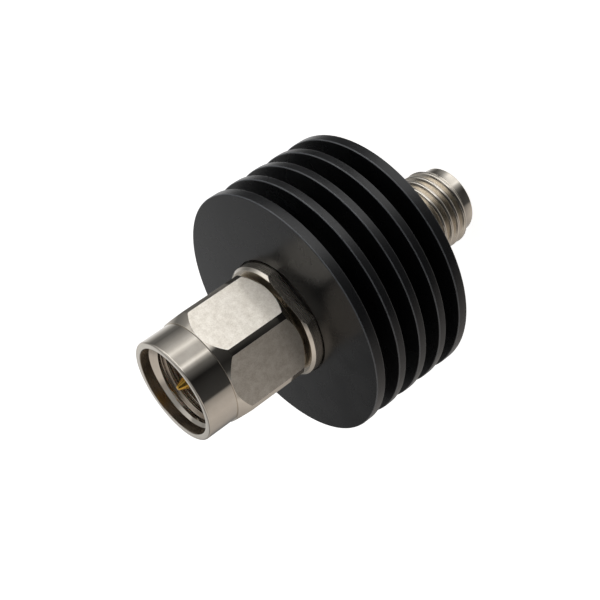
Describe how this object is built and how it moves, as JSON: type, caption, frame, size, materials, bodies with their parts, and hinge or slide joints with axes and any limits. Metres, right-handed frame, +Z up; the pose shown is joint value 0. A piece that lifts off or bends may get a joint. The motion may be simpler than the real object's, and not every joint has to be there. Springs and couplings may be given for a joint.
{
  "type": "coaxial attenuator",
  "caption": "Inline coaxial attenuator: a hexagonal coupling nut plug on one end, a threaded jack on the other, and a round black finned heat sink between them.",
  "frame": {"origin": "centre of the jack's rim, on which the part stands", "axes": "+Z up along the connectors' axis, from the jack to the plug; -Y is square to a wrench flat of both flanges"},
  "size_m": [0.019, 0.019, 0.0272],
  "materials": {
    "black_anodise": "satin black anodised aluminium, turned fins",
    "passivated_steel": "passivated stainless steel, milled flats with a fine grain",
    "turned_steel": "passivated stainless steel, fine turned finish",
    "gold_plate": "gold plated beryllium copper, polished",
    "insulator_white": "white fluoropolymer",
    "gasket_silicone": "red-brown silicone rubber",
    "ring_bronze": "spring bronze",
    "carrier_brass": "machined brass",
    "chip_ceramic": "alumina ceramic",
    "film_dark": "resistive film"
  },
  "bodies": {
    "housing": {"heat_sink": "black_anodise", "jack_body": "turned_steel", "plug_body": "turned_steel", "nut_gasket": "gasket_silicone", "jack_insulator": "insulator_white", "plug_insulator": "insulator_white", "plug_pin": "gold_plate", "jack_contact": "gold_plate", "carrier_base": "carrier_brass", "carrier_cover": "carrier_brass", "chip_substrate": "chip_ceramic", "resistive_film": "film_dark", "pad_input": "gold_plate", "pad_output": "gold_plate", "ground_strip_left": "gold_plate", "ground_strip_right": "gold_plate", "tab_input": "gold_plate", "tab_output": "gold_plate"},
    "ring": {"retaining_ring": "ring_bronze"},
    "nut": {"coupling_nut": "passivated_steel"}
  },
  "joints": [
    {"name": "nut_float", "type": "slide", "parent": "housing", "child": "ring", "axis": [0, 0, 1], "range_m": [0, 0.00025]},
    {"name": "nut_turn", "type": "hinge", "parent": "ring", "child": "nut", "pos_m": [0, 0, 0.02288], "axis": [0, 0, 1], "continuous": true}
  ]
}
